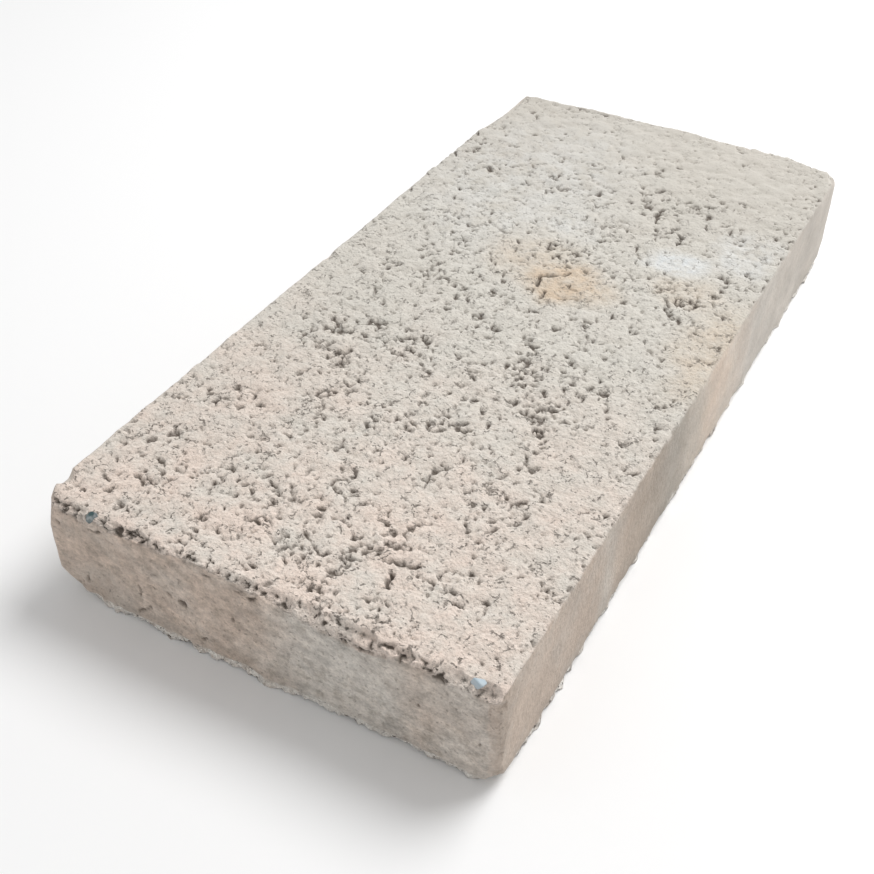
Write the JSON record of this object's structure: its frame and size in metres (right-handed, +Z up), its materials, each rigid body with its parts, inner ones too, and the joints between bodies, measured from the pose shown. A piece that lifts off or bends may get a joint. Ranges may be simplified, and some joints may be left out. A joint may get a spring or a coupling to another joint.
{
  "type": "concrete cap block",
  "caption": "Solid rectangular concrete cap block with an open-textured tamped top, smooth moulded sides, worn corners and a thin ragged lip round its foot.",
  "frame": {"origin": "middle of the underside, on the floor", "axes": "+Z up out of the tamped top face, +Y along the length, +X across the width"},
  "size_m": [0.1921, 0.3995, 0.0508],
  "materials": {
    "dry_cast_concrete": "matt, open-textured on top and smooth from the mould on the sides"
  },
  "bodies": {
    "root": {"cap_block": "dry_cast_concrete"}
  },
  "joints": []
}
